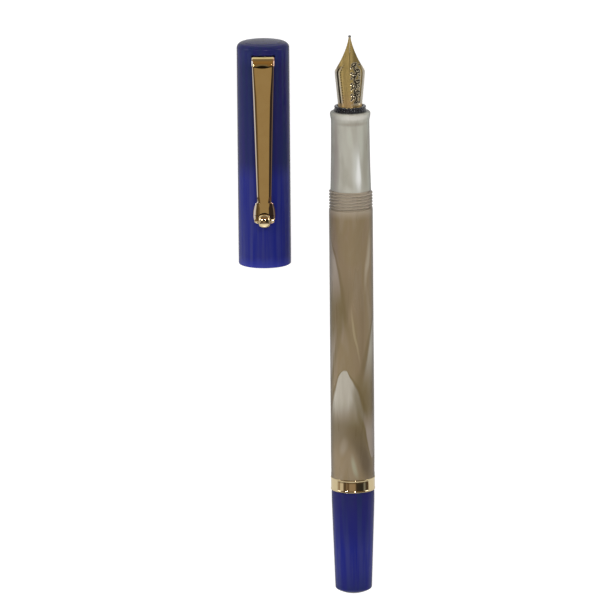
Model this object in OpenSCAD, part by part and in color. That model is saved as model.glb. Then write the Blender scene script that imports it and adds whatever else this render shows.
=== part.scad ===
// Piston-filling fountain pen lying beside its screw cap.
// +Z is up, the pen's axis runs along Y with the nib towards +Y, and the cap lies at -X.
// The origin is at the centre of the bounding box, on the surface that both pieces lie on.

/* [Pen] */
// Length from the datum, which is just in front of the knob's end, to the nib's tip
pen_length = 136.4; // [136.4]
// Outside diameter of the barrel
barrel_d = 10.5; // [10.5:0.1:10.6]
// Distance between the pen's axis and the cap's axis
cap_offset = 20.7; // [18:0.1:30]

/* [Barrel and grip] */
// Datum to the rear face of the gold ring
ring_start = 25.06; // [25.06]
// Length of the gold ring
ring_length = 3.1; // [2.8:0.1:3.3]
// Outside diameter of the gold ring's lips
ring_d = 10.74; // [10.7:0.02:10.9]
// Datum to the front end of the cap threads
barrel_end = 98.65; // [98.65]
// Number of thread grooves for the cap
thread_turns = 6; // [4:1:6]
// Distance from one thread crest to the next
thread_pitch = 0.75; // [0.7:0.05:0.75]
// Datum to the front face of the grip section
section_end = 117.9; // [117.9]

/* [Nib] */
// Greatest width of the nib, across its shoulders
nib_width = 7.2; // [7:0.1:7.2]
// Thickness of the nib's sheet
nib_sheet = 0.35; // [0.25:0.05:0.35]
// Downward tilt of the nib in front of the collar, in degrees
nib_tilt = 11.1; // [10:0.1:11.5]
// Length of the slit from the tip
slit_length = 9.6; // [8:0.1:10]

/* [Filler] */
// Travel of the piston
piston_stroke = 28; // [20:1:28]
// Bore of the ink chamber
chamber_d = 7.8; // [7.8]

/* [Cap] */
// Length of the cap, without the slight dome of its top
cap_length = 53.95; // [53.95]
// Outside diameter of the cap
cap_d = 12.6; // [12.6:0.1:13]
// Height of the dome on the cap's top
cap_dome = 0.35; // [0.2:0.05:0.4]
// Mouth of the cap to the rim of the inner cap
inner_cap_start = 24.2; // [24:0.1:25]

/* [Clip] */
// Width of the clip at the cap's top
clip_top_w = 5.4; // [5:0.1:5.4]
// Width of the clip just above its fork
clip_low_w = 3.5; // [3.4:0.1:3.8]
// Width across the fork that holds the roller
fork_w = 5.3; // [5.2:0.1:5.4]
// Diameter of the roller
roller_d = 3.7; // [3.6:0.1:3.8]
// Width of the roller
roller_w = 2.8; // [2.6:0.1:2.8]

/* [Hidden] */
$fn = 96;
slack = 0.05;   // radial room of a plain fit
e = 0.01;       // overshoot of a cut

// where the two pieces lie
pen_r = ring_d / 2;
cap_r = cap_d / 2;
pen_x = (cap_offset + cap_r - pen_r) / 2;
cap_x = pen_x - cap_offset;
pen_z = pen_r;
cap_z = cap_r;
cap_mouth = 80.95;   // along the pen, from the datum
knob_overhang = 0.75;   // how far the knob's end reaches behind the datum
pen_y = (knob_overhang - pen_length) / 2;

// pen: places are measured along the axis from the datum
barrel_r = barrel_d / 2;
ring_end = ring_start + ring_length;
thread_start = barrel_end - 4.75;
thread_root_r = barrel_r - 0.5;
chamber_r = chamber_d / 2;
chamber_start = 52.05;
chamber_end = 90.2;
tenon_r = 4;
housing_bore_r = 4.2;
lip_r = 4.86;
neck_r = 4.6;
section_rear_r = 4.87;
collar_front = section_end + 1.3;
collar_r = 3.85;
collar_body_r = 3.4;
collar_bore_r = 3.13;
collar_rear = 107;
feed_bore_r = 2.4;

// nib: the sheet is a cylinder in the collar and a wider, tilted cone in front of it
nib_heel_r = 3.1;
nib_flare = 0.079;
nib_root = collar_front;
nib_reach = pen_length - nib_root;
nib_heel_start = 110;
tipping_r = 0.34;
tipping_z = 0.85;
tipping_cut = 0.5;
slit_w = 0.1;

// filler
knob_r = 5.16;
knob_end_r = 4.42;
knob_dome = 1.3;
knob_taper_end = 22.2;
flange_r = 4.78;
flange_start = ring_start - 0.86;
housing_r = 4.15;
snout_r = 3.62;
snout_end = 9;
rod_r = 2.5;
rod_flat = 1.75;
rod_start = 15;
spindle_r = 1.6;
journal_r = 1.5;
square_w = 2.1;
head_start = 53;
head_length = 7;
head_r = chamber_r - 0.15;
seal_r = 0.34;

// cap: places are measured along the axis from the mouth
cap_bore_r = 5.1;
cap_thread_bore_r = 5.33;
cap_thread_crest_r = 4.95;
cap_thread_end = 6.2;
cap_roof = 51.75;
inner_cap_r = cap_bore_r - slack;
inner_cap_bore_r = 4.35;
inner_cap_end = 50.65;
inner_cap_floor = 49.1;
screw_r = 1;
screw_head_r = 1.9;

// clip: heights are measured from the cap's axis
tab_t = 1;
tab_low = 50.72;
slot_room = 0.13;
clip_top_z = 8.6;
clip_t = 0.9;
clip_bend_r = 1.9;
clip_root_z = 5.42;
axle_r = 0.5;
axle_y = 12.15;
axle_z = cap_r + 0.12 + roller_d / 2;
cheek_r = 1.05;
fork_gap = roller_w + 0.14;

// points of an arc about (x, y), from angle a to angle b
function arc(x, y, r, a, b, n = 8) =
    [for (i = [0:n]) [x + r * cos(a + (b - a) * i / n), y + r * sin(a + (b - a) * i / n)]];

// the lesser of two values, with its corner rounded by k
function soft_min(a, b, k) = (a + b - sqrt((a - b) * (a - b) + k * k)) / 2;

// half the nib's width at a distance from its tip
function nib_half(d) =
    nib_width / 7.2 * soft_min(0.2 + 3.72 * pow(d / 9.2, 1.5), 3.69 - 0.104 * (d - 9), 0.3);

module on_pen() {
    translate([pen_x, pen_y, pen_z]) children();
}

module on_cap() {
    translate([cap_x, cap_mouth + pen_y, cap_z]) children();
}

// turns a profile of [radius, distance] about the Y axis
module lathe(profile) {
    rotate([-90, 0, 0]) rotate_extrude() polygon(profile);
}

module tube(outer, inner, from, to) {
    lathe([[inner, from], [outer, from], [outer, to], [inner, to]]);
}

module rod(r, from, to) {
    translate([0, from, 0]) rotate([-90, 0, 0]) cylinder(r = r, h = to - from);
}

module o_ring(r_mid, r_wire, at) {
    translate([0, at, 0]) rotate([-90, 0, 0]) rotate_extrude()
        translate([r_mid, 0]) circle(r = r_wire, $fn = 32);
}

// ---- pen ----

module barrel() {
    crest_r = barrel_r - 0.03;
    groove = [for (i = [0:thread_turns - 1])
        let (y = thread_start + 0.1 + i * thread_pitch)
        each [[crest_r, y], [thread_root_r, y + 0.4 * thread_pitch],
              [thread_root_r, y + 0.6 * thread_pitch]]];
    outside = concat(
        [[housing_bore_r, ring_end], [barrel_r, ring_end], [barrel_r, thread_start]], groove,
        [[crest_r, thread_start + 0.1 + thread_turns * thread_pitch],
         [thread_root_r + 0.1, barrel_end]]);
    inside = [[tenon_r + slack, barrel_end], [tenon_r + slack, chamber_end],
              [chamber_r, chamber_end], [chamber_r, chamber_start],
              [housing_bore_r, chamber_start]];
    color([0.50, 0.44, 0.35]) on_pen() lathe(concat(outside, inside));
}

module section() {
    grip = concat(
        [[section_rear_r, barrel_end], [neck_r, section_end - 2.6],
         [neck_r + 0.06, section_end - 1.8]],
        arc(lip_r - 0.55, section_end - 0.6, 0.55, 0, 90),
        [[collar_body_r + slack, section_end - 0.05]]);
    bore = [[collar_body_r + slack, collar_rear - 0.1], [feed_bore_r, collar_rear - 0.1],
            [feed_bore_r, 91.2]];
    seal_groove = [[tenon_r, 91.2], [tenon_r, 92.4], [tenon_r - 0.6, 92.4],
                   [tenon_r - 0.6, 93.2], [tenon_r, 93.2], [tenon_r, barrel_end]];
    color([0.66, 0.66, 0.62]) on_pen() lathe(concat(grip, bore, seal_groove));
}

module section_seal() {
    color([0.1, 0.1, 0.1]) on_pen() o_ring(tenon_r - 0.275, 0.32, 92.8);
}

module nib_collar() {
    color([0.07, 0.07, 0.08]) on_pen() lathe([
        [collar_bore_r, collar_rear + 1], [feed_bore_r - 0.4, collar_rear + 1],
        [feed_bore_r - 0.4, collar_rear], [collar_body_r, collar_rear],
        [collar_body_r, section_end], [collar_r, section_end],
        [collar_r, section_end + 0.5], [collar_r - 0.25, section_end + 0.6],
        [collar_r - 0.25, section_end + 0.75], [collar_r - 0.05, section_end + 0.85],
        [collar_r - 0.05, collar_front - 0.12], [collar_r - 0.17, collar_front],
        [collar_bore_r, collar_front]]);
}

// places a child in the tilted frame of the nib, with its Z along the nib and its Y down
module along_nib() {
    translate([0, nib_root, 0]) rotate([-90 - nib_tilt, 0, 0]) children();
}

module nib_cone(inset) {
    over = 1;
    length = nib_reach + 2 * over;
    along_nib() translate([0, 0, -over])
        cylinder(r1 = nib_heel_r - nib_flare * over - inset,
                 r2 = nib_heel_r + nib_flare * (length - over) - inset, h = length);
}

module nib_outline() {
    steps = 34;
    last = nib_reach + 0.2;
    side = [for (i = [0:steps])
        let (d = tipping_cut + (last - tipping_cut) * i / steps)
        [nib_half(d), pen_length - d]];
    polygon(concat(side, [for (i = [steps:-1:0]) [-side[i][0], side[i][1]]]));
}

module nib() {
    wing_drop = 0.7;
    color([0.72, 0.56, 0.28]) on_pen() difference() {
        union() {
            intersection() {
                difference() {
                    nib_cone(0);
                    nib_cone(nib_sheet);
                }
                translate([0, 0, -6]) linear_extrude(12) nib_outline();
                along_nib() translate([-5, -10, -2]) cube([10, 10 - wing_drop, nib_reach + 4]);
            }
            difference() {
                rod(nib_heel_r, nib_heel_start, nib_root + 0.15);
                rod(nib_heel_r - nib_sheet, nib_heel_start - e, nib_root + 0.15 + e);
                translate([-5, nib_heel_start - 1, -10]) cube([10, nib_reach, 10]);
            }
        }
        translate([-slit_w / 2, pen_length - slit_length, -5]) cube([slit_w, slit_length, 10]);
    }
}

module nib_tipping() {
    color([0.45, 0.45, 0.42]) on_pen() difference() {
        translate([0, pen_length - tipping_r, tipping_z]) sphere(r = tipping_r, $fn = 48);
        translate([-1, pen_length - tipping_cut - 1 + e, -1]) cube([2, 1, 4]);
        translate([-slit_w / 2, pen_length - 1, -1]) cube([slit_w, 2, 4]);
    }
}

module feed() {
    fins = 11;
    fin_pitch = 0.72;
    fin_start = nib_root + 0.7;
    core_r = 1.75;
    shaft_r = nib_heel_r - nib_sheet - slack;
    front = fin_start + fins * fin_pitch;
    comb = [for (i = [0:fins - 1])
        let (y = fin_start + i * fin_pitch, r = 2.66 - 0.05 * i)
        each [[r, y], [core_r, y], [core_r, y + 0.34], [r - 0.02, y + 0.34]]];
    color([0.08, 0.08, 0.09]) on_pen() union() {
        lathe([[0, collar_rear + 1.1], [shaft_r, collar_rear + 1.1], [shaft_r, nib_root - 0.3],
               [shaft_r - 0.15, nib_root - 0.3], [shaft_r - 0.15, nib_root + 0.3],
               [0, nib_root + 0.3]]);
        intersection() {
            lathe(concat([[0, nib_root + 0.1], [2.65, nib_root + 0.1], [2.65, fin_start - 0.1]],
                         comb, [[2.1, front], [1.6, front + 1.6], [0.9, front + 3.8],
                                [0.3, front + 4], [0, front + 4]]));
            nib_cone(nib_sheet + 0.03);
        }
    }
}

module trim_ring() {
    // a rounded lip: distance from the ring's edge, and depth below the lip's top
    lip = [[0, 0.08], [0.06, 0.02], [0.18, 0], [0.3, 0.02], [0.42, 0.09]];
    color([0.80, 0.64, 0.35]) on_pen() lathe(concat(
        [[housing_r + 0.1, ring_start]],
        [for (p = lip) [pen_r - p[1], ring_start + p[0]]],
        [[pen_r - 0.08, (ring_start + ring_end) / 2]],
        [for (i = [len(lip) - 1:-1:0]) [pen_r - lip[i][1], ring_end - lip[i][0]]],
        [[housing_r + 0.1, ring_end]]));
}

// ---- filler ----

module piston_housing() {
    guide = chamber_start - 2.6;
    front = chamber_start - slack;
    color([0.15, 0.15, 0.17]) on_pen() difference() {
        lathe([[2.65, 14], [3, 14], [3, snout_end], [snout_r, snout_end],
               [snout_r, flange_start], [flange_r, flange_start], [flange_r, ring_start - e],
               [housing_r, ring_start - e], [housing_r, 46], [housing_r - 0.55, 46],
               [housing_r - 0.55, 46.8], [housing_r, 46.8], [housing_r, front], [0, front],
               [0, guide], [2.65, guide]]);
        keyed_rod(rod_r + slack, rod_flat + slack, guide - 1, front + 1);
    }
}

// a round bar with a flat above and below, which keeps it from turning
module keyed_rod(r, flat, from, to) {
    intersection() {
        rod(r, from, to);
        translate([-r - 1, from, -flat]) cube([2 * r + 2, to - from, 2 * flat]);
    }
}

module housing_seal() {
    color([0.1, 0.1, 0.1]) on_pen() o_ring(housing_r - 0.26, 0.28, 46.4);
}

module spindle_bush() {
    color([0.75, 0.60, 0.30]) on_pen() tube(2.97, journal_r + slack, snout_end + 0.05, 12.5);
}

module spindle() {
    thread_end = 48;
    color([0.75, 0.60, 0.30]) on_pen() union() {
        lathe([[0, 6.4], [journal_r, 6.4], [journal_r, 12.65], [2.93, 12.65], [2.93, 13.9],
               [spindle_r, 13.9], [spindle_r, thread_end - 0.5], [spindle_r - 0.5, thread_end],
               [0, thread_end]]);
        translate([-square_w / 2, 2.9, -square_w / 2]) cube([square_w, 3.6, square_w]);
    }
}

module turning_knob() {
    rim = knob_dome - knob_overhang;
    dome_r = (knob_end_r * knob_end_r + knob_dome * knob_dome) / (2 * knob_dome);
    dome_angle = asin(knob_end_r / dome_r);
    color([0.12, 0.13, 0.45]) on_pen() difference() {
        lathe(concat(arc(0, dome_r - knob_overhang, dome_r, -90, -90 + 0.96 * dome_angle),
                     [[knob_end_r, rim + 0.2], [knob_r - 0.01, knob_taper_end],
                      [knob_r, ring_start - 0.06], [flange_r + 0.07, ring_start - 0.06],
                      [flange_r + 0.07, flange_start - 0.1], [snout_r + 0.08, flange_start - 0.1],
                      [snout_r + 0.08, snout_end - 0.5], [journal_r + slack, snout_end - 0.5],
                      [journal_r + slack, 6.3], [0, 6.3]]));
        translate([-square_w / 2 - 0.02, 2.8, -square_w / 2 - 0.02])
            cube([square_w + 0.04, 4, square_w + 0.04]);
    }
}

module piston_rod() {
    stud = 4;
    color([0.85, 0.85, 0.82]) on_pen() difference() {
        union() {
            keyed_rod(rod_r, rod_flat, rod_start, head_start);
            rod(1.4, head_start - e, head_start + stud);
        }
        rod(spindle_r + 0.06, rod_start - 1, 49);
    }
}

module piston_head() {
    front = head_start + head_length;
    groove_r = head_r - 0.56;
    groove_w = 0.8;
    grooves = [for (y = [head_start + 1, front - 1 - groove_w])
        each [[head_r, y], [groove_r, y], [groove_r, y + groove_w], [head_r, y + groove_w]]];
    color([0.85, 0.85, 0.82]) on_pen() lathe(concat(
        [[1.45, head_start], [head_r, head_start]], grooves,
        [[head_r, front - 0.5], [head_r - 0.5, front], [0, front],
         [0, head_start + 4.2], [1.45, head_start + 4.2]]));
}

module piston_seal(at) {
    color([0.1, 0.1, 0.1]) on_pen() o_ring(chamber_r - 0.02 - seal_r, seal_r, at);
}

module piston_seal_front() {
    piston_seal(head_start + head_length - 1.4);
}

module piston_seal_rear() {
    piston_seal(head_start + 1.4);
}

// ---- cap ----

module cap_shell() {
    mouth_round = 0.4;
    top_round = 1.3;
    ridges = [for (i = [0:thread_turns - 1])
        let (y = 1.7 + i * thread_pitch)
        each [[cap_thread_bore_r, y], [cap_thread_crest_r, y + 0.3 * thread_pitch],
              [cap_thread_crest_r, y + 0.45 * thread_pitch],
              [cap_thread_bore_r, y + 0.75 * thread_pitch]]];
    inside = concat([[cap_thread_bore_r + 0.3, 0]], [[cap_thread_bore_r, 0.5]], ridges,
                    [[cap_thread_bore_r, cap_thread_end], [cap_bore_r, cap_thread_end + 0.4],
                     [cap_bore_r, cap_roof], [0, cap_roof]]);
    outside = concat([[0, cap_length + cap_dome], [3, cap_length + 0.8 * cap_dome]],
                     arc(cap_r - top_round, cap_length - top_round, top_round, 80, 0),
                     arc(cap_r - mouth_round, mouth_round, mouth_round, 0, -80, 5));
    color([0.10, 0.11, 0.42]) on_cap() difference() {
        lathe(concat(inside, outside));
        translate([-clip_top_w / 2 - slot_room, tab_low - slot_room, 4])
            cube([clip_top_w + 2 * slot_room, tab_t + 2 * slot_room, 4]);
        rod(screw_r + 0.03, cap_roof - 1, cap_roof + 1.25);
    }
}

module inner_cap() {
    color([0.05, 0.05, 0.12]) on_cap() lathe([
        [inner_cap_bore_r, inner_cap_start], [inner_cap_r, inner_cap_start],
        [inner_cap_r, inner_cap_end], [screw_r + 0.06, inner_cap_end],
        [screw_r + 0.06, inner_cap_floor], [inner_cap_bore_r, inner_cap_floor]]);
}

module clip_anchor() {
    color([0.72, 0.56, 0.28]) on_cap() difference() {
        translate([-2.5, tab_low, -3.2]) cube([5, tab_t, clip_root_z - 0.2 + 3.2]);
        rod(screw_r + 0.06, tab_low - 1, tab_low + tab_t + 1);
    }
}

module clip_screw() {
    head_y = inner_cap_floor - slack;
    color([0.75, 0.60, 0.30]) on_cap() difference() {
        union() {
            rod(screw_r, head_y - e, cap_roof + 1.15);
            rod(screw_head_r, head_y - 1.15, head_y);
        }
        translate([-3, head_y - 1.15 - e, -0.2]) cube([6, 0.5, 0.4]);
    }
}

// side view of the clip: X is the distance from the cap's mouth, Y the height
module clip_side() {
    under_z = clip_top_z - clip_t;
    tab_high = tab_low + tab_t;
    polygon(concat(
        [[tab_low, clip_root_z], [tab_high, clip_root_z]],
        arc(tab_high - clip_bend_r, clip_top_z - clip_bend_r, clip_bend_r, 0, 90),
        [[18, clip_top_z], [axle_y + 0.6, axle_z + cheek_r - 0.15],
         [axle_y, axle_z], [axle_y + 0.6, axle_z - cheek_r + 0.15], [18, under_z]],
        arc(tab_low - 0.9, under_z - 0.9, 0.9, 90, 0, 4)));
    translate([axle_y, axle_z]) circle(r = cheek_r);
}

// plan of the clip: a taper that flares into the fork
module clip_plan() {
    top = tab_low + tab_t + 1;
    shoulder = 17.5;
    half = fork_w / 2;
    right = concat(
        [[clip_top_w / 2, top], [clip_low_w / 2, shoulder]],
        arc(half - 3.2, axle_y + 1.2, 3.2, 40, 0),
        arc(half - 1.3, axle_y + 0.25, 1.3, 0, -85));
    polygon(concat(right, [for (i = [len(right) - 1:-1:0]) [-right[i][0], right[i][1]]]));
}

module clip() {
    color([0.78, 0.62, 0.34]) on_cap() difference() {
        intersection() {
            translate([-5, 0, 0]) rotate([90, 0, 90]) linear_extrude(10) clip_side();
            linear_extrude(20) clip_plan();
        }
        translate([-fork_gap / 2, 0, 0]) cube([fork_gap, axle_y + 1.4, 20]);
        translate([0, axle_y + 1.4, 0]) cylinder(r = fork_gap / 2, h = 20);
        translate([-5, axle_y, axle_z]) rotate([0, 90, 0]) cylinder(r = axle_r + 0.02, h = 10);
    }
}

module roller_axle() {
    color([0.60, 0.50, 0.30]) on_cap() translate([-fork_w / 2 + 0.15, axle_y, axle_z])
        rotate([0, 90, 0]) cylinder(r = axle_r, h = fork_w - 0.3);
}

module clip_roller() {
    half = roller_w / 2;
    r = roller_d / 2;
    crown = 0.45;
    color([0.85, 0.72, 0.45]) on_cap() translate([0, axle_y, axle_z]) rotate([0, 90, 0])
        rotate_extrude() polygon(concat(
            [[axle_r + 0.06, -half], [axle_r + 0.06, half]],
            arc(r - crown, half - crown, crown, 90, 0, 5),
            arc(r - crown, crown - half, crown, 0, -90, 5)));
}

barrel();
section();
section_seal();
nib();
nib_tipping();
feed();
nib_collar();
trim_ring();
piston_housing();
housing_seal();
spindle_bush();
spindle();
turning_knob();
piston_rod();
piston_head();
piston_seal_front();
piston_seal_rear();
cap_shell();
inner_cap();
clip_anchor();
clip_screw();
clip();
roller_axle();
clip_roller();
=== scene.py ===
"""Looks of the fountain pen and its cap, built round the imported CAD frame.

Lengths in this script are millimetres. The pen's pieces are built along Y from a datum just in front
of the knob's end, and the cap's from its mouth, as in part.scad, and then moved to where the CAD
nodes are.
"""
import math

import bmesh
import bpy
import numpy as np
from mathutils import Matrix, Vector
from mathutils.kdtree import KDTree


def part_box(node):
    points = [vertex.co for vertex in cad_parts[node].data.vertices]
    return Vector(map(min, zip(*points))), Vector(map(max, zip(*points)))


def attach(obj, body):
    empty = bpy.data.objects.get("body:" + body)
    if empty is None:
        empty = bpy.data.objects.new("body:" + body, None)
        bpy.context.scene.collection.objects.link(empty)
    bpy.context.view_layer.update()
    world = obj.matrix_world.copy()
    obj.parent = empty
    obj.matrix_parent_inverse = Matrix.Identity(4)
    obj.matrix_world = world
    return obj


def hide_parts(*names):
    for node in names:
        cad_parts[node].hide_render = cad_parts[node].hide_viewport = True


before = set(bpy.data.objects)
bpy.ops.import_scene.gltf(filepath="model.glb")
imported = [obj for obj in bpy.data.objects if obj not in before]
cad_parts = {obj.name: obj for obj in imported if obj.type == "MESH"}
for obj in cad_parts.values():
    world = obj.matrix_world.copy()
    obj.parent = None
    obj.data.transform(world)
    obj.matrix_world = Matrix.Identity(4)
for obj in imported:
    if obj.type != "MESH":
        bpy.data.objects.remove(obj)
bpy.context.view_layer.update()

MM = 0.001
AROUND = 144    # points round a turned piece
FINE = 192      # points round the largest ones


def box_mm(node):
    low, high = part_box(node)
    return low / MM, high / MM


def axis_of(round_node, end_node):
    """Where a turned group's axis is, and where its distances start."""
    low, high = box_mm(round_node)
    return Vector(((low.x + high.x) / 2, box_mm(end_node)[0].y, (low.z + high.z) / 2))


KNOB_OVERHANG = 0.75    # how far the knob's end reaches behind the pen's datum
CAP_DOME = 0.35
PEN = axis_of("barrel", "turning_knob") + Vector((0, KNOB_OVERHANG, 0))
CAP = axis_of("cap_shell", "cap_shell")


def near(node, origin, end):
    """How far along its axis a node's near (0) or far (1) end is."""
    return box_mm(node)[end].y - origin.y


RING_START = near("trim_ring", PEN, 0)
RING_END = near("trim_ring", PEN, 1)
BARREL_END = near("barrel", PEN, 1)
SECTION_END = near("section", PEN, 1)
COLLAR_END = near("nib_collar", PEN, 1)
PEN_END = near("nib_tipping", PEN, 1)
BARREL_R = 5.25
RING_R = PEN.z
CAP_R = CAP.z
CAP_LENGTH = near("cap_shell", CAP, 1) - CAP_DOME


# ---------------- meshes

SHARP = 32    # degrees between two faces at which their edge shows


def make_mesh(name, points, faces, origin):
    """A mesh from points in millimetres round origin, with its faces turned outwards."""
    mesh = bpy.data.meshes.new(name)
    placed = (np.asarray(points, float) + np.array(origin)) * MM
    mesh.from_pydata([tuple(p) for p in placed], [], [tuple(f) for f in faces])
    work = bmesh.new()
    work.from_mesh(mesh)
    bmesh.ops.recalc_face_normals(work, faces=work.faces)
    work.to_mesh(mesh)
    work.free()
    return mesh


def smooth(mesh, sharp=SHARP):
    mesh.shade_smooth()
    mesh.set_sharp_from_angle(angle=math.radians(sharp))


def link(name, data):
    """Puts a new object into the scene."""
    new = bpy.data.objects.new(name, data)
    bpy.context.scene.collection.objects.link(new)
    return new


def add_piece(name, points, faces, origin, body, material, slot, stands_for, sharp=SHARP):
    """Makes a mesh piece, which rides on a body and stands for the CAD nodes in stands_for."""
    mesh = make_mesh(name, points, faces, origin)
    smooth(mesh, sharp)
    mesh.materials.append(material)
    piece = link(name, mesh)
    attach(piece, body)
    if stands_for:
        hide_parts(*stands_for)
    return piece


def loft(rings, loop):
    """Joins rings of points, each as long as the next or a single point, into one skin."""
    points, starts, faces = [], [], []
    for ring in rings:
        starts.append(len(points))
        points.extend(ring)
    pairs = list(zip(range(len(rings)), range(1, len(rings))))
    if loop:
        pairs.append((len(rings) - 1, 0))
    for i, j in pairs:
        a, b = starts[i], starts[j]
        m, n = len(rings[i]), len(rings[j])
        for k in range(max(m, n)):
            after = (k + 1) % max(m, n)
            if m == 1:
                faces.append((a, b + after, b + k))
            elif n == 1:
                faces.append((a + k, a + after, b))
            else:
                faces.append((a + k, a + after, b + after, b + k))
    return points, faces


def turned(profile, shape=None, around=AROUND):
    """Turns a profile of (radius, distance) about the Y axis. shape(r, y, angle) may change each
    radius. A profile that starts on the axis is closed there, and another closes on itself."""
    angles = np.linspace(0, math.tau, around, endpoint=False)
    rings = []
    for r, y in profile:
        if r < 1e-6:
            rings.append([(0, y, 0)])
            continue
        radii = np.full(around, r) if shape is None else shape(r, y, angles)
        rings.append(list(zip(radii * np.sin(angles), np.full(around, y), radii * np.cos(angles))))
    return loft(rings, loop=profile[0][0] > 1e-6)


def soften(profile, radius):
    """Rounds the corners of a profile. Corners on the axis stay."""
    out = []
    count = len(profile)
    closed = profile[0][0] > 1e-6
    for i, here in enumerate(profile):
        if not closed and i in (0, count - 1):
            out.append(here)
            continue
        p = np.array(here, float)
        before = np.array(profile[i - 1], float) - p
        after = np.array(profile[(i + 1) % count], float) - p
        lengths = np.linalg.norm(before), np.linalg.norm(after)
        if min(lengths) < 0.02:
            out.append(here)
            continue
        cut = min(radius, 0.4 * min(lengths))
        start, end = p + before / lengths[0] * cut, p + after / lengths[1] * cut
        for t in np.linspace(0, 1, 4):
            out.append(tuple((1 - t) ** 2 * start + 2 * t * (1 - t) * p + t * t * end))
    return out


def arc(x, y, r, start, end, steps):
    """Points of an arc about (x, y), from one angle in degrees to another."""
    turns = np.radians(np.linspace(start, end, steps + 1))
    return [(x + r * math.cos(t), y + r * math.sin(t)) for t in turns]


def between(start, end, step):
    return list(np.linspace(start, end, max(2, int(round(abs(end - start) / step)) + 1)))


def smoothstep(low, high, x):
    t = np.clip((x - low) / (high - low), 0, 1)
    return t * t * (3 - 2 * t)


def thicken(outer, inner, faces):
    """A closed sheet from an outer and an inner skin with the same faces."""
    count = len(outer)
    points = np.vstack([outer, inner])
    edges = dict.fromkeys((a, b) for f in faces for a, b in zip(f, f[1:] + f[:1]))
    rim = [(a, b) for a, b in edges if (b, a) not in edges]
    back = [tuple(count + i for i in reversed(f)) for f in faces]
    walls = [(b, a, count + a, count + b) for a, b in rim]
    return points, list(faces) + back + walls


def cut_out(piece, points, faces, origin):
    """Cuts a closed shape out of a piece, with a modifier that is applied at once."""
    cutter = link("cutter", make_mesh("cutter", points, faces, origin))
    modifier = piece.modifiers.new("cut", "BOOLEAN")
    modifier.operation = "DIFFERENCE"
    modifier.solver = "EXACT"
    modifier.object = cutter
    depsgraph = bpy.context.evaluated_depsgraph_get()
    cut = bpy.data.meshes.new_from_object(piece.evaluated_get(depsgraph))
    piece.modifiers.clear()
    piece.data = cut
    bpy.data.objects.remove(cutter)
    smooth(cut)


def prism(outline, low, high):
    """Points and faces of an outline of (x, y) that is drawn out along Z."""
    count = len(outline)
    points = [(x, y, z) for z in (low, high) for x, y in outline]
    faces = [(i, (i + 1) % count, count + (i + 1) % count, count + i) for i in range(count)]
    return points, faces + [tuple(range(count)), tuple(range(2 * count - 1, count - 1, -1))]


def rounded_block(low, high, radius):
    """A block whose upright edges are rounded."""
    corners = [(high[0] - radius, high[1] - radius, 0), (low[0] + radius, high[1] - radius, 90),
               (low[0] + radius, low[1] + radius, 180), (high[0] - radius, low[1] + radius, 270)]
    outline = [p for x, y, a in corners for p in arc(x, y, radius, a, a + 90, 4)]
    return prism(outline, low[2], high[2])


# ---------------- materials

class Graph:
    """A small helper for node trees."""

    def __init__(self, tree):
        self.tree = tree
        tree.nodes.clear()

    def put(self, socket, value):
        if isinstance(value, bpy.types.NodeSocket):
            self.tree.links.new(value, socket)
        elif socket.type == "RGBA" and len(value) == 3:
            socket.default_value = (*value, 1)
        else:
            socket.default_value = value

    def add(self, kind, inputs=None, **settings):
        node = self.tree.nodes.new("ShaderNode" + kind)
        for key, value in settings.items():
            setattr(node, key, value)
        for key, value in (inputs or {}).items():
            self.put(node.inputs[key], value)
        return node

    def math(self, operation, a, b=0.0, c=0.0):
        return self.add("Math", {0: a, 1: b, 2: c}, operation=operation).outputs[0]

    def times(self, a, b):
        return self.math("MULTIPLY", a, b)

    def minus(self, a, b):
        return self.math("SUBTRACT", a, b)

    def vector(self, operation, a, b=(0, 0, 0)):
        node = self.add("VectorMath", {0: a, 1: b}, operation=operation)
        return node.outputs["Value" if operation in ("LENGTH", "DOT_PRODUCT") else "Vector"]

    def split(self, vector):
        return self.add("SeparateXYZ", {0: vector}).outputs

    def join(self, x, y, z):
        return self.add("CombineXYZ", {0: x, 1: y, 2: z}).outputs[0]

    def mix(self, share, a, b):
        return self.add("Mix", {0: share, 6: a, 7: b}, data_type="RGBA").outputs[2]

    def scale(self, value, low, high, to_low=0.0, to_high=1.0):
        """Maps low..high smoothly onto to_low..to_high."""
        inputs = {"Value": value, "From Min": low, "From Max": high, "To Min": to_low,
                  "To Max": to_high}
        return self.add("MapRange", inputs, interpolation_type="SMOOTHSTEP").outputs[0]

    def noise(self, vector, scale, detail=3.0, distortion=0.0):
        """scale is a number, or one number for each axis."""
        if isinstance(scale, tuple):
            vector, scale = self.vector("MULTIPLY", vector, scale), 1.0
        inputs = {"Vector": vector, "Scale": scale, "Detail": detail, "Distortion": distortion}
        return self.add("TexNoise", inputs).outputs["Fac"]

    def ramp(self, share, stops, interpolation="LINEAR"):
        """stops are (place, colour) or (place, colour, alpha)."""
        node = self.add("ValToRGB", {0: share})
        elements = node.color_ramp.elements
        node.color_ramp.interpolation = interpolation
        while len(elements) < len(stops):
            elements.new(0.5)
        for element, stop in zip(elements, stops):
            element.position = stop[0]
            element.color = (*stop[1], stop[2] if len(stop) > 2 else 1)
        return node.outputs

    def facing(self):
        """0 where a face looks at the camera and 1 where it is seen edge on."""
        return self.add("LayerWeight", {"Blend": 0.5}).outputs["Facing"]

    def bump(self, height, distance_mm, strength):
        inputs = {"Height": height, "Distance": distance_mm * MM, "Strength": strength}
        return self.add("Bump", inputs).outputs[0]


def new_material(name):
    """A material, its graph and the place in the frame in millimetres."""
    material = bpy.data.materials.new(name)
    material.use_nodes = True
    graph = Graph(material.node_tree)
    coordinates = graph.add("TexCoord").outputs["Object"]
    place = graph.vector("MULTIPLY", coordinates, (1 / MM,) * 3)
    return material, graph, place


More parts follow.
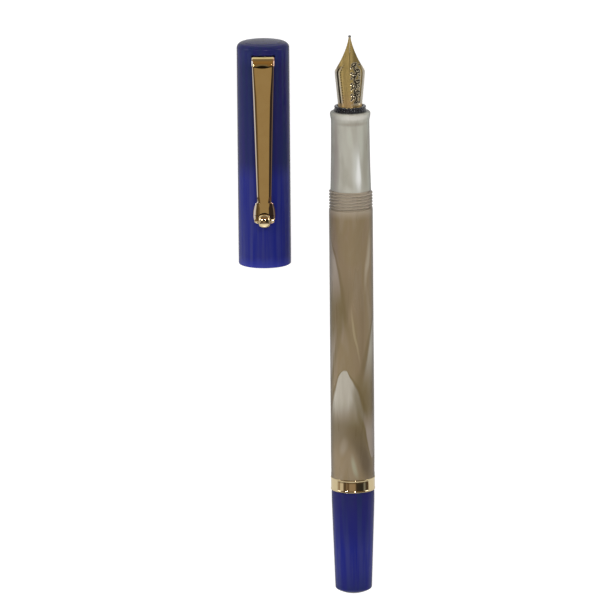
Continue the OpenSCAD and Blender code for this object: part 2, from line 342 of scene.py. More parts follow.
def finish_material(material, graph, inputs):
    shader = graph.add("BsdfPrincipled", inputs)
    output = graph.add("OutputMaterial", {"Surface": shader.outputs[0]})
    material.node_tree.nodes.active = output
    return material


def grey(value):
    return (value, value, value)


def metal(name, colour, roughness, tarnish=0.06, left=None, right=None):
    """Polished metal with faint polishing lines, smears and slightly warmer patches. left and right
    are tones painted on faces that lean to -X and +X: painted light and painted shade."""
    material, graph, place = new_material(name)
    smear = graph.noise(place, 0.35, 3, 0.6)
    fine = graph.noise(place, (9, 1.2, 9), 4)
    deep = tuple(c * k for c, k in zip(colour, (0.86, 0.78, 0.66)))
    tone = graph.mix(graph.scale(smear, 0.35, 0.8, 0, tarnish * 6), colour, deep)
    if left:
        # Painted light and shade: faces that lean to -X take the tone left, those that lean to +X the
        # tone right.
        lean = graph.split(graph.add("TexCoord").outputs["Normal"])[0]
        tone = graph.mix(graph.scale(lean, -0.36, -0.52), tone, left)
        tone = graph.mix(graph.scale(lean, 0.20, 0.36), tone, right)
    rough = graph.math("ADD", graph.scale(smear, 0.3, 0.75, roughness, roughness * 1.9),
                       graph.times(fine, roughness * 0.4))
    return finish_material(material, graph, {
        "Base Color": tone, "Metallic": 1.0, "Roughness": rough,
        "Normal": graph.bump(fine, 0.003, 0.12)})


def plastic(name, colour, other, roughness, coat=0.0, grain=1.6, bump_mm=0.01):
    """Moulded plastic: two close tones, a fine grain and uneven gloss."""
    material, graph, place = new_material(name)
    cloud = graph.noise(place, 0.3, 4, 0.4)
    fine = graph.noise(place, grain * 6, 3)
    tone = graph.mix(graph.scale(cloud, 0.3, 0.7), colour, other)
    rough = graph.scale(graph.noise(place, grain, 3), 0.3, 0.7, roughness, roughness * 1.5)
    return finish_material(material, graph, {
        "Base Color": tone, "Roughness": rough, "Coat Weight": coat, "Coat Roughness": 0.08,
        "Normal": graph.bump(fine, bump_mm, 0.3)})


def turned_brass(name):
    """Brass with the fine rings that a lathe leaves."""
    material, graph, place = new_material(name)
    along = graph.split(place)[1]
    rings = graph.noise(graph.join(0, graph.times(along, 14), 0), 1.0, 2)
    tone = graph.mix(graph.noise(place, 0.5, 3), (0.72, 0.50, 0.20), (0.52, 0.33, 0.12))
    return finish_material(material, graph, {
        "Base Color": tone, "Metallic": 1.0, "Roughness": graph.scale(rings, 0.3, 0.7, 0.2, 0.42),
        "Normal": graph.bump(rings, 0.02, 0.5)})


def angle_round(graph, local):
    """The angle round the pen's axis in degrees: 0 on top and positive towards +X."""
    axes = graph.split(local)
    return graph.math("DEGREES", graph.math("ARCTAN2", axes["X"], axes["Z"]))


def angle_from(graph, angle, centre):
    return graph.math("WRAP", graph.minus(angle, centre), 180, -180)


def patch(graph, angle, along, centre, place, half_angle, half_length, lean):
    """A soft oval patch on a pearl resin: 1 in its middle and 0 outside. lean is in degrees for
    each millimetre along."""
    y = graph.minus(along, place)
    turn = graph.minus(angle_from(graph, angle, centre), graph.times(y, lean))
    stretched = graph.join(graph.math("DIVIDE", turn, half_angle),
                           graph.math("DIVIDE", y, half_length), 0)
    return graph.scale(graph.vector("LENGTH", stretched), 1.0, 0.2)


def petal(graph, angle, along, centre, apex, width, length):
    """A pearl flame with a rounded point at apex, fading out towards its tail, and the thin dark edge
    round it. width is half its angle 10 mm behind the point. A negative length turns it round."""
    behind = graph.minus(apex, along)
    if length < 0:
        behind = graph.times(behind, -1)
    spread = graph.math("POWER", graph.math("MAXIMUM", graph.math("DIVIDE", behind, 10), 0.001), 0.6)
    turn = graph.math("ABSOLUTE", angle_from(graph, angle, centre))
    across = graph.math("DIVIDE", turn, graph.times(spread, width))
    length = abs(length)
    started = graph.scale(behind, 0.0, 0.5)
    shown = graph.times(started, graph.scale(behind, length, 0.45 * length))
    edged = graph.times(started, graph.scale(behind, 1.6 * length, length))
    return (graph.times(shown, graph.scale(across, 1.04, 0.86)),
            graph.times(edged, graph.scale(across, 1.30, 1.08)))


def pearl_resin(name, tones, pale, petals, patches, stretch):
    """Pearl resin: broad, soft bands of several tones along the pen, faint silk in them, and flames
    and patches of other tones. petals are (angle, apex, width, length, tone), and patches are
    (angle, place, half angle, half length, lean, tone)."""
    material, graph, place = new_material(name)
    local = graph.vector("SUBTRACT", place, tuple(PEN))
    warp = graph.noise(local, (0.22, 0.07, 0.22), 2)
    along = graph.split(local)[1]
    angle = graph.math("ADD", angle_round(graph, local),
                       graph.times(graph.minus(warp, 0.5), 26))
    flow = graph.noise(local, (0.17, stretch, 0.17), 2, 0.8)
    last = len(tones) - 1
    stops = [(0.32 + 0.36 * i / last, tone) for i, tone in enumerate(tones)]
    tone = graph.ramp(flow, stops, "B_SPLINE")[0]
    silk = graph.noise(local, (0.7, stretch * 1.5, 0.7), 3, 1.0)
    tone = graph.mix(graph.scale(silk, 0.50, 0.85, 0, 0.35), tone, pale)
    for centre, at, half_angle, half_length, lean, colour in patches:
        share = patch(graph, angle, along, centre, at, half_angle, half_length, lean)
        tone = graph.mix(graph.times(share, 0.85), tone, colour)
    for centre, apex, width, length, colour in petals:
        inside, edge = petal(graph, angle, along, centre, apex, width, length)
        tone = graph.mix(graph.times(edge, 0.45), tone, (0.150, 0.115, 0.050))
        veiled = graph.times(inside, graph.scale(silk, 0.25, 0.60, 0.80, 1.0))
        tone = graph.mix(veiled, tone, colour)
    # Painted shade: the resin darkens where it is seen edge on.
    tone = graph.mix(graph.scale(graph.facing(), 0.35, 0.95, 0, 0.75), tone, grey(0.02))
    fine = graph.noise(place, (4, 0.8, 4), 3)
    return finish_material(material, graph, {
        "Base Color": tone, "Roughness": graph.scale(silk, 0.3, 0.8, 0.34, 0.24), "IOR": 1.2,
        "Metallic": 0.05, "Coat Weight": 0.16, "Coat Roughness": 0.06, "Coat IOR": 1.45,
        "Normal": graph.bump(fine, 0.005, 0.2)})


def blue_resin(name, see_through_shade_stops, start, end, mouth_glow=0.0):
    """Blue resin over darker pieces, painted as translucent. see_through_shade_stops give the painted
    shade of what lies behind, from 0 to 1 along the piece between the places start and end along Y.
    mouth_glow is how much painted light gathers at the start."""
    material, graph, place = new_material(name)
    along = graph.split(place)[1]
    share = graph.math("DIVIDE", graph.minus(along, start), end - start)
    cloud = graph.noise(place, 0.22, 3, 0.8)
    share = graph.math("ADD", share, graph.times(graph.minus(cloud, 0.5), 0.03))
    # Painted shade where darker pieces lie behind the resin: a brighter blue mixed into a darker one.
    behind = graph.ramp(share, [(p, grey(v)) for p, v in see_through_shade_stops])[0]
    streaks = graph.noise(place, (0.9, 0.03, 0.9), 3)
    bright = graph.mix(graph.scale(streaks, 0.35, 0.65), (0.016, 0.022, 0.200), (0.034, 0.040, 0.190))
    dark = graph.mix(graph.scale(streaks, 0.35, 0.65), (0.022, 0.020, 0.105), (0.016, 0.024, 0.090))
    fine = graph.noise(place, (5, 1, 5), 3)
    # Painted light that gathers near the start of the piece.
    glow = graph.scale(share, 0.055, 0.0, 0, mouth_glow)
    tone = graph.mix(glow, graph.mix(behind, bright, dark), (0.048, 0.058, 0.370))
    # Painted shade: the resin darkens where it is seen edge on.
    tone = graph.mix(graph.scale(graph.facing(), 0.55, 0.97, 0, 0.8), tone, (0.006, 0.006, 0.020))
    return finish_material(material, graph, {
        "Base Color": tone, "Roughness": graph.scale(cloud, 0.3, 0.7, 0.12, 0.20), "IOR": 1.1,
        "Subsurface Weight": 0.12, "Subsurface Radius": (0.0006, 0.0008, 0.0030),
        "Coat Weight": 0.20, "Coat Roughness": 0.03, "Coat IOR": 1.5,
        "Normal": graph.bump(fine, 0.004, 0.2)})


def nib_metal(name):
    """Gold with white-gold wings. The nib's mesh says, from 0 to 1, where painted shade darkens it in
    its engraving, grooves, slit and front edges (cut), where its wings are (wing) and where painted
    highlights lie on its ridges and round its engraving (painted_shine)."""
    material, graph, place = new_material(name)
    cut, wing, painted_shine = (graph.add("Attribute", attribute_name=key).outputs["Fac"]
                        for key in ("cut", "wing", "painted_shine"))
    axes = graph.split(place)
    grain = graph.noise(place, (7, 5, 7), 4)
    smear = graph.noise(place, 0.5, 3, 0.5)
    gold = graph.mix(graph.scale(smear, 0.3, 0.7), (0.74, 0.56, 0.215), (0.64, 0.48, 0.175))
    gold = graph.mix(graph.scale(grain, 0.38, 0.62, 0, 0.30), gold, (0.36, 0.29, 0.12))
    blush = graph.scale(graph.minus(axes["Y"], PEN.y + COLLAR_END), 4.5, 0.5, 0, 0.45)
    gold = graph.mix(blush, gold, (0.72, 0.46, 0.25))
    # Painted shade: the nib's +X half is darker.
    painted_right_shade = graph.scale(graph.minus(axes["X"], PEN.x), 0.5, 1.1, 0, 0.55)
    gold = graph.mix(painted_right_shade, gold, (0.26, 0.18, 0.06))
    # Painted highlights on the ridges and round the engraving.
    tone = graph.mix(painted_shine, gold, (1.0, 0.95, 0.78))
    # Painted shade in the engraving, the grooves, the slit and along the front edges.
    dark = graph.scale(cut, 0.18, 0.60)
    tone = graph.mix(dark, graph.mix(wing, tone, (0.50, 0.47, 0.39)), (0.022, 0.016, 0.007))
    rough = graph.math("ADD", graph.scale(grain, 0.3, 0.7, 0.15, 0.24), graph.times(dark, 0.3))
    dull = graph.math("MAXIMUM", graph.times(dark, 0.7),
                      graph.math("MAXIMUM", graph.times(wing, 0.8), 0.38))
    return finish_material(material, graph, {
        "Base Color": tone, "Metallic": graph.minus(1.0, dull), "Roughness": rough,
        "Specular IOR Level": 0.2, "Normal": graph.bump(grain, 0.012, 0.4)})


silver, pale_grey, mauve = (0.475, 0.450, 0.385), (0.40, 0.37, 0.30), (0.35, 0.30, 0.25)
dusk = (0.160, 0.125, 0.080)
barrel_mat = pearl_resin(
    "barrel_pearl",
    [(0.235, 0.178, 0.105), (0.275, 0.210, 0.135), (0.250, 0.192, 0.105), (0.300, 0.240, 0.165),
     (0.275, 0.212, 0.125)],
    (0.38, 0.33, 0.25),
    [(-18, 55.4, 50, 14.5, silver), (98, 71.0, 50, 22, pale_grey), (-120, 44.0, 52, -24, mauve),
     (170, 84.0, 48, 24, pale_grey), (-75, 88.0, 36, 18, mauve), (66, 33.0, 40, -13, mauve)],
    [(-50, 74, 18, 26, 0.0, (0.265, 0.205, 0.155)), (48, 82, 11, 9, 1.2, (0.40, 0.34, 0.25)),
     (8, 64, 5, 9, -1.6, (0.36, 0.30, 0.18)), (-24, 66, 6, 5, 0.0, (0.34, 0.27, 0.20)),
     (0, 96.6, 400, 5.0, 0.0, (0.48, 0.425, 0.345)),
     (-30, 42, 46, 9, 0.0, (0.255, 0.212, 0.162)), (14, 38, 38, 6.5, -1.5, dusk),
     (38, 32.5, 34, 7.0, -2.0, (0.125, 0.095, 0.060)),
     (-24, 36.5, 14, 3.2, 2.0, (0.36, 0.31, 0.24)), (4, 31.5, 10, 4.0, -2.5, (0.36, 0.35, 0.25)),
     (130, 40, 24, 7, 0.0, dusk), (-160, 68, 26, 8, 0.0, dusk)],
    stretch=0.040)
section_mat = pearl_resin(
    "section_pearl",
    [(0.40, 0.39, 0.33), (0.46, 0.455, 0.40), (0.51, 0.515, 0.45), (0.455, 0.485, 0.42),
     (0.55, 0.555, 0.49)],
    (0.64, 0.65, 0.58),
    [],
    [(-50, 106, 18, 16, 0.0, (0.36, 0.33, 0.30)), (16, 104.5, 20, 8.0, -0.6, (0.62, 0.64, 0.60)),
     (22, 103.4, 11, 6.0, -0.8, (0.88, 0.90, 0.89)),
     # The pale band at 116.9 is a painted highlight round the lip, and the dark band at 115.3 is
     # painted shade under it.
     (50, 107, 20, 15, 0.0, (0.33, 0.32, 0.265)), (12, 116.9, 75, 1.0, 0.0, (0.68, 0.67, 0.62)),
     (10, 115.3, 75, 0.7, 0.0, (0.36, 0.34, 0.29)), (150, 104, 22, 7, 0.8, (0.76, 0.76, 0.68)),
     (-120, 110, 20, 6, 0.0, (0.72, 0.72, 0.64))],
    stretch=0.07)
# The cap: painted shade where its liner lies behind, and painted light at its mouth.
cap_mat = blue_resin(
    "cap_blue", [(0.0, 0.0), (0.40, 0.0), (0.475, 0.85), (0.90, 1.0), (0.96, 0.75), (1.0, 0.95)],
    CAP.y, CAP.y + CAP_LENGTH, mouth_glow=0.65)
# The knob: painted shade where its inner pieces lie behind.
knob_mat = blue_resin(
    "knob_blue", [(0.0, 0.75), (0.07, 0.45), (0.22, 0.10), (0.42, 0.0), (0.60, 0.40), (0.97, 0.85),
                  (1.0, 1.0)],
    PEN.y, PEN.y + RING_START)
gold_mat = metal("gold_plate", (0.85, 0.69, 0.42), 0.03)
# The clip's bevels get a painted light tone where they lean to -X and a painted shade tone where they
# lean to +X.
clip_mat = metal("clip_plate", (0.94, 0.74, 0.33), 0.03, 0.04, (0.97, 0.90, 0.82), (0.88, 0.58, 0.42))
trim_mat = metal("gold_band", (0.85, 0.70, 0.42), 0.025, tarnish=0.03)
nib_mat = nib_metal("nib_two_tone")
tipping_mat = metal("hard_tip", (0.13, 0.125, 0.11), 0.28)
feed_mat = plastic("feed_black", (0.012, 0.012, 0.014), (0.022, 0.021, 0.022), 0.28, coat=0.2)
collar_mat = plastic("collar_black", (0.010, 0.010, 0.013), (0.026, 0.027, 0.032), 0.22, coat=0.5)
housing_mat = plastic("housing_black", (0.020, 0.020, 0.024), (0.030, 0.030, 0.034), 0.38)
liner_mat = plastic("liner_dark", (0.008, 0.009, 0.028), (0.012, 0.012, 0.040), 0.32, coat=0.2)
white_mat = plastic("acetal_white", (0.70, 0.69, 0.63), (0.62, 0.60, 0.53), 0.35, bump_mm=0.015)
rubber_mat = plastic("seal_rubber", (0.012, 0.012, 0.012), (0.024, 0.023, 0.022), 0.6, grain=3)
brass_mat = turned_brass("turned_brass")

for material, names in [
        (feed_mat, ["feed"]), (housing_mat, ["piston_housing"]), (liner_mat, ["inner_cap"]),
        (rubber_mat, ["section_seal", "housing_seal", "piston_seal_front", "piston_seal_rear"]),
        (brass_mat, ["spindle_bush", "spindle", "clip_screw"]),
        (white_mat, ["piston_rod", "piston_head"]), (gold_mat, ["clip_anchor"])]:
    for name in names:
        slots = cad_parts[name].data.materials
        slots.clear()
        slots.append(material)


# ---------------- pen

HOUSING_BORE_R = 4.2
CHAMBER_R, CHAMBER_START, CHAMBER_END = 3.9, 52.05, 90.2
TENON_R = 4.0
TENON_ROOM = 0.05
FEED_BORE_R = 2.4
SEAL_GROOVE_R, SEAL_GROOVE_START, SEAL_GROOVE_END = 3.4, 92.4, 93.2
COLLAR_R, COLLAR_BODY_R, COLLAR_BORE_R, COLLAR_REAR = 3.85, 3.4, 3.13, 107
RIBS = 26    # round the collar's flange
THREAD_START = BARREL_END - 4.75
THREAD_PITCH = 0.75
THREAD_CREST = 5.22
THREAD_DEPTH = 0.47


def screw_thread(y, angles, start):
    """How deep a helical groove is at each angle: 0 on the crest and 1 at the root."""
    turn = (y - start) / THREAD_PITCH - angles / math.tau
    return np.clip((0.42 - np.abs(turn % 1 - 0.5)) / 0.32, 0, 1)


def barrel_shape(r, y, angles):
    if y <= THREAD_START or r < 4.3:
        return np.full(len(angles), r)
    fade = smoothstep(THREAD_START - 0.1, THREAD_START + 0.4, y)
    groove = fade * screw_thread(y, angles, THREAD_START + 0.1)
    return np.minimum(r, THREAD_CREST - THREAD_DEPTH * groove)


def build_barrel():
    body = [(HOUSING_BORE_R, RING_END), (BARREL_R, RING_END), (BARREL_R, RING_END + 1)]
    plain = [(BARREL_R, y) for y in between(RING_END + 6, THREAD_START - 0.2, 5)]
    screwed = [(BARREL_R, y) for y in between(THREAD_START, BARREL_END - 0.3, 0.045)]
    front = [(4.88, BARREL_END - 0.06), (4.80, BARREL_END)]
    bore = [(TENON_R + TENON_ROOM, BARREL_END), (TENON_R + TENON_ROOM, CHAMBER_END),
            (CHAMBER_R, CHAMBER_END), (CHAMBER_R, CHAMBER_START), (HOUSING_BORE_R, CHAMBER_START)]
    profile = soften(body, 0.06) + plain + screwed + front + bore
    add_piece("barrel_resin_tube", *turned(profile, barrel_shape, FINE), PEN, "pen", barrel_mat,
              "barrel_resin", ["barrel"])


def build_section():
    lip = 4.86
    outside = [(4.80, BARREL_END), (4.87, BARREL_END + 0.08)]
    for share in np.linspace(0.03, 1, 14):
        y = BARREL_END + share * (SECTION_END - 2.6 - BARREL_END)
        waist = 0.05 * math.sin(math.pi * share)
        outside.append((4.87 - 0.27 * share - waist, y))
    outside += [(4.62, SECTION_END - 2.1), (4.70, SECTION_END - 1.6), (4.80, SECTION_END - 1.15)]
    outside += arc(lip - 0.55, SECTION_END - 0.6, 0.55, -10, 88, 8)
    socket_r, socket_end, rear = COLLAR_BODY_R + TENON_ROOM, COLLAR_REAR - 0.1, CHAMBER_END + 1
    inside = [(socket_r, SECTION_END - 0.03), (socket_r, socket_end), (FEED_BORE_R, socket_end),
              (FEED_BORE_R, rear), (TENON_R, rear), (TENON_R, SEAL_GROOVE_START),
              (SEAL_GROOVE_R, SEAL_GROOVE_START), (SEAL_GROOVE_R, SEAL_GROOVE_END),
              (TENON_R, SEAL_GROOVE_END), (TENON_R, BARREL_END)]
    add_piece("grip_section", *turned(outside + inside), PEN, "pen", section_mat, "section_resin",
              ["section"])


def collar_shape(r, y, angles):
    """Fine ribs round the front flange."""
    if r < COLLAR_R - 0.3 or y < SECTION_END:
        return np.full(len(angles), r)
    ribs = 0.5 + 0.5 * np.cos(RIBS * angles)
    return r - 0.10 * ribs ** 3


def build_collar():
    end = SECTION_END
    rear, front = COLLAR_REAR, end + 1.3
    rim = [(COLLAR_BODY_R, rear), (COLLAR_BODY_R, end), (COLLAR_R, end), (COLLAR_R, end + 0.25),
           (COLLAR_R, end + 0.5), (3.60, end + 0.6), (3.60, end + 0.75), (3.80, end + 0.85),
           (3.80, end + 1.18), (3.68, front), (COLLAR_BORE_R, front), (COLLAR_BORE_R, rear + 1),
           (2.0, rear + 1), (2.0, rear)]
    add_piece("nib_collar_ribbed", *turned(soften(rim, 0.07), collar_shape, 12 * RIBS), PEN, "pen",
              collar_mat, "black_plastic", ["nib_collar"])


def build_ring():
    lip = [(0, 0.08), (0.06, 0.02), (0.18, 0), (0.3, 0.02), (0.42, 0.09)]
    first = [(RING_R - drop, RING_START + at) for at, drop in lip]
    last = [(RING_R - drop, RING_END - at) for at, drop in reversed(lip)]
    middle = (RING_R - 0.08, (RING_START + RING_END) / 2)
    profile = [(4.25, RING_START)] + first + [middle] + last + [(4.25, RING_END)]
    add_piece("gold_ring", *turned(soften(profile, 0.05), around=FINE), PEN, "pen", trim_mat,
              "gold_trim", ["trim_ring"])


def build_knob():
    end_r, dome, wide, taper_end = 4.42, 1.3, 5.16, 22.2
    rim = dome - KNOB_OVERHANG
    dome_r = (end_r ** 2 + dome ** 2) / (2 * dome)
    reach = math.degrees(math.asin(end_r / dome_r))
    end = [(0, -KNOB_OVERHANG)] + arc(0, dome_r - KNOB_OVERHANG, dome_r, -88, -90 + 0.90 * reach, 12)
    side = [(end_r - 0.12, rim - 0.02), (end_r - 0.02, rim + 0.16), (end_r + 0.01, rim + 0.42)]
    taper = [(np.interp(y, (rim, taper_end), (end_r, wide)), y)
             for y in between(2.2, taper_end, 1.6)]
    front = RING_START - 0.06
    mouth = [(wide, front - 0.16), (wide - 0.05, front - 0.03), (4.95, front)]
    recess_r, recess_end, snout_r, snout_end = 4.85, front - 0.9, 3.70, 8.5
    spindle_r, spindle_end = 1.55, 2.8
    bore = [(recess_r, front), (recess_r, recess_end), (snout_r, recess_end), (snout_r, snout_end),
            (spindle_r, snout_end), (spindle_r, 6.3), (1.52, spindle_end), (0, spindle_end)]
    add_piece("turning_knob_blue", *turned(end + side + taper + mouth + bore), PEN, "knob", knob_mat,
              "blue_resin", ["turning_knob"])


# ---------------- nib

NIB_TILT = math.radians(11.1)
NIB_HEEL_R = 3.1
NIB_FLARE = 0.079
NIB_SHEET = 0.35
SLIT_WIDTH = 0.02
SLIT_LENGTH = 9.6
HEEL_START = 112.0
TIPPING_CUT = 0.5


def soft_min(a, b, k):
    return (a + b - math.sqrt((a - b) ** 2 + k * k)) / 2


def nib_half(from_tip):
    """Half the nib's width at a distance from its tip, as in part.scad."""
    d = max(from_tip, 0)
    return soft_min(0.2 + 3.72 * (d / 9.2) ** 1.5, 3.69 - 0.104 * (d - 9), 0.3)


def nib_point(s, angle, inset):
    """A point of the nib at a distance s in front of the collar and an angle from its ridge."""
    if s < 0:
        r = NIB_HEEL_R - inset
        return r * math.sin(angle), COLLAR_END + s, r * math.cos(angle)
    r = NIB_HEEL_R + NIB_FLARE * s - inset
    height = r * math.cos(angle)
    return (r * math.sin(angle),
            COLLAR_END + s * math.cos(NIB_TILT) + height * math.sin(NIB_TILT) * smoothstep(0, 1.5, s),
            -s * math.sin(NIB_TILT) + height * math.cos(NIB_TILT * smoothstep(0, 1.5, s)))


def edge_angle(s):
    """The angle at which the nib's outline cuts its cone."""
    low, high = 0.0, math.pi / 2
    for _ in range(30):
        middle = (low + high) / 2
        x, y = nib_point(s, middle, 0)[:2]
        if x < nib_half(PEN_END - y):
            low = middle
        else:
            high = middle
    return low


def scroll_lines():
    """Points of a generic vine scroll: a wavy stem with a volute in each bend, and small leaves.
    They are (distance across, distance from the tip)."""
    lines = [(1.30 + 0.30 * math.sin(2.2 * d), d) for d in between(6.6, 16.9, 0.04)]
    for i, centre in enumerate(between(7.2, 16.2, 1.28)):
        side = 1 if i % 2 else -1
        for t in np.linspace(0, 1, 50):
            turn = side * (0.6 + 1.9 * math.pi * t)
            r = 0.60 * (1 - 0.80 * t)
            lines.append((1.34 + side * 0.42 + r * math.cos(turn), centre + r * math.sin(turn)))
    for i, centre in enumerate(between(7.0, 16.6, 0.62)):
        side = -1 if i % 2 else 1
        for t in np.linspace(0, 0.34, 9):
            lines.append((1.32 + side * (0.84 + 0.6 * t), centre + t * 0.7))
    return lines


def engraving(x, from_tip, half, scrolls):
    """How deep the engraving is, from 0 to 1: scrolls, a beaded border and a line inside it."""
    depth = 0.0
    for side, strength in ((1, 1.0), (-1, 0.14)):
        distance = scrolls.find((x * side, from_tip, 0))[2]
        depth = max(depth, strength * math.exp(-(distance / 0.15) ** 2))
    depth *= smoothstep(6.0, 7.2, from_tip)
    inside = half - abs(x)
    bead = math.exp(-((inside - 1.36) / 0.12) ** 2) * (0.6 + 0.4 * math.cos(from_tip * 10.5))
    return max(depth, 0.9 * bead * smoothstep(6.0, 7.5, from_tip))


def build_nib():
    last = 16.19
    rows = between(HEEL_START - COLLAR_END, -0.3, 0.6) + between(0, last, 0.055)
    scrolls = KDTree(2000)
    for i, (x, d) in enumerate(scroll_lines()):
        scrolls.insert((x, d, 0), i)
    scrolls.balance()
    half_columns = 68
    outer, inner, cut_shades, wings, painted_shines = [], [], [], [], []
    for s in rows:
        reach = edge_angle(s)
        for side in (-1, 1):
            shares = np.linspace(0, 1, half_columns)[::side]
            gap = math.asin(SLIT_WIDTH / 2 / (NIB_HEEL_R + NIB_FLARE * max(s, 0)))
            for share in shares:
                angle = gap + (reach - gap) * share
                x, y = nib_point(s, angle, 0)[:2]
                from_tip = PEN_END - y
                half = nib_half(from_tip)
                shown = smoothstep(0.2, 1.0, s)
                cut = engraving(side * x, from_tip, half, scrolls) * shown
                inside = half - x
                back = smoothstep(6.4, 9.5, from_tip) * shown
                groove = math.exp(-((inside - 0.64) / 0.21) ** 2) * back
                ridge = math.exp(-((inside - 1.04) / 0.13) ** 2) * back
                rim = smoothstep(0.42, 0.10, inside) * (1 - back)
                along_slit = smoothstep(2.3, 3.0, from_tip) * smoothstep(9.6, 9.2, from_tip)
                line = math.exp(-(x / 0.11) ** 4) * along_slit
                inset = 0.075 * cut + 0.13 * groove - 0.045 * ridge + 0.02 * line
                outer.append(nib_point(s, side * angle, inset))
                inner.append(nib_point(s, side * angle, NIB_SHEET))
                # Painted shade of the engraving, the grooves (darker on the -X half), the slit and
                # the front edges.
                cut_shades.append(max(cut, groove if side < 0 else 0.45 * groove, 0.48 * line, 0.36 * rim))
                # Painted highlights round the engraving on the +X half, and along the ridges,
                # brighter on the -X half.
                lit = 2.8 * cut * (1 - cut) if side > 0 else 0.0
                painted_shines.append(max(0.95 * ridge if side < 0 else 0.4 * ridge, lit))
                wings.append(back * smoothstep(0.56, 0.42, inside))
    columns = 2 * half_columns
    faces = []
    for i in range(len(rows) - 1):
        slit = PEN_END - outer[(i + 1) * columns + half_columns][1] < SLIT_LENGTH
        for j in range(columns - 1):
            if slit and j == half_columns - 1:
                continue
            a, b = i * columns + j, (i + 1) * columns + j
            faces.append((a, a + 1, b + 1, b))
    points, faces = thicken(outer, inner, faces)
    nib = add_piece("nib_engraved", points, faces, PEN, "pen", nib_mat, "nib_gold", ["nib"], 50)
    for name, values in (("cut", cut_shades), ("wing", wings), ("painted_shine", painted_shines)):
        attribute = nib.data.attributes.new(name, "FLOAT", "POINT")
        attribute.data.foreach_set("value", np.array(values + [0.0] * len(inner), np.float32))


def build_tipping():
    """The two hard halves on the tip, with the slit between them."""
    r, height = 0.34, 0.85
    for side, name in ((-1, "tipping_left"), (1, "tipping_right")):
        rings = []
        for turn in np.linspace(0, math.pi, 15):
            y = PEN_END - r + r * math.cos(turn)
            if y < PEN_END - TIPPING_CUT:
                break
            girth = r * math.sin(turn)
            if girth < 0.06:
                continue
            ring = []
            for a in np.linspace(-math.pi / 2, math.pi / 2, 15):
                x = max(girth * math.cos(a), SLIT_WIDTH / 2)
                ring.append((side * x, y, height + girth * math.sin(a)))
            ring += [(side * SLIT_WIDTH / 2, y, height + girth * (1 - k / 8)) for k in range(1, 16)]
            rings.append(ring)
        middle = [(side * SLIT_WIDTH / 2, rings[0][0][1] + 0.01, height)]
        back = [(side * SLIT_WIDTH / 2, rings[-1][0][1], height)]
        add_piece(name, *loft([middle] + rings + [back], loop=False), PEN, "pen", tipping_mat,
                  "tipping_metal", ["nib_tipping"] if side > 0 else [], 40)


# ---------------- cap

CAP_BORE = 5.1
CAP_ROOF = 51.75
CAP_THREAD_BORE = 5.33
CAP_THREAD_END = 6.2
CAP_SCREW_R, CAP_SCREW_DEPTH = 1.03, 1.25


def cap_shape(r, y, angles):
    """The helical ridges inside the cap's mouth."""
    if abs(r - CAP_THREAD_BORE) > 0.01 or not 1.3 < y < CAP_THREAD_END:
        return np.full(len(angles), r)
    fade = smoothstep(1.4, 1.9, y) * smoothstep(6.1, 5.6, y)
    ridge = 1 - screw_thread(y, angles, 1.7)
    return r - 0.38 * fade * smoothstep(0.15, 0.9, ridge)


def build_cap():
    mouth, top = 0.4, 1.3
    inside = [(CAP_THREAD_BORE + 0.3, 0), (CAP_THREAD_BORE, 0.5)]
    inside += [(CAP_THREAD_BORE, y) for y in between(1.2, CAP_THREAD_END, 0.06)]
    inside += [(CAP_BORE, CAP_THREAD_END + 0.4)]
    inside += [(CAP_BORE, y) for y in between(10, CAP_ROOF, 5)]
    inside += [(CAP_SCREW_R, CAP_ROOF), (CAP_SCREW_R, CAP_ROOF + CAP_SCREW_DEPTH),
               (0, CAP_ROOF + CAP_SCREW_DEPTH)]
    end = CAP_LENGTH
    crown = [(0, end + CAP_DOME), (1.5, end + 0.33), (3.0, end + 0.27), (4.0, end + 0.18),
             (4.3, end + 0.145), (4.36, end + 0.08), (4.44, end + 0.08), (4.5, end + 0.12),
             (4.9, end + 0.05)]
    outside = arc(CAP_R - top, end - top, top, 86, 0, 14)
    outside += [(CAP_R, y) for y in between(end - 4, 4, 6)]
    outside += arc(CAP_R - mouth, mouth, mouth, 0, -80, 6)
    cap = add_piece("cap_blue_tube", *turned(crown + outside + inside, cap_shape, FINE), CAP, "cap",
                    cap_mat, "blue_resin", ["cap_shell"])
    clip_slot = rounded_block((-2.83, 50.59, 4), (2.83, 51.85, 8), 0.2)
    cut_out(cap, *clip_slot, CAP)


# Distances along the clip are from the cap's mouth, and heights from the cap's axis.
ROLLER_R, ROLLER_HALF, ROLLER_DROP = 1.85, 1.4, 0.9
AXLE_C, AXLE_Z, AXLE_R = 12.15, CAP_R + 0.12 + ROLLER_R, 0.5
CLIP_TOP, CLIP_THICK, CLIP_TAB, CLIP_ROOT_Z = 8.6, 0.9, 51.72, 5.42
BEND_LENGTH, BEND_HEIGHT = 3.2, 1.9
EAR_TOP, EAR_MIDDLE, EAR_HALF = 16.5, 13.35, 2.65
CHEEK_R, CHEEK_TOP = 1.05, 0.25    # below the axle's middle, and above the clip
CHEEK_REACH = 0.72    # how far the cheeks of the fork go beyond the axle's middle


def clip_half(c):
    """Half the clip's width at a distance from the cap's mouth. The ears of its fork swell from
    EAR_TOP to EAR_MIDDLE."""
    neck = np.interp(c, (17.5, 52.72), (1.72, 2.7))
    if c > EAR_TOP:
        return neck
    if c > EAR_MIDDLE:
        along = (c - EAR_MIDDLE) / (EAR_TOP - EAR_MIDDLE)
        return neck + (EAR_HALF - neck) * math.sqrt(1 - along ** 1.8)
    return EAR_HALF - 0.20 * (EAR_MIDDLE - c) ** 2


def roller_radius(x):
    """The crowned roller's radius at a distance from its middle."""
    return ROLLER_R - ROLLER_DROP * (1 - math.sqrt(max(1 - (x / ROLLER_HALF) ** 2, 0)))


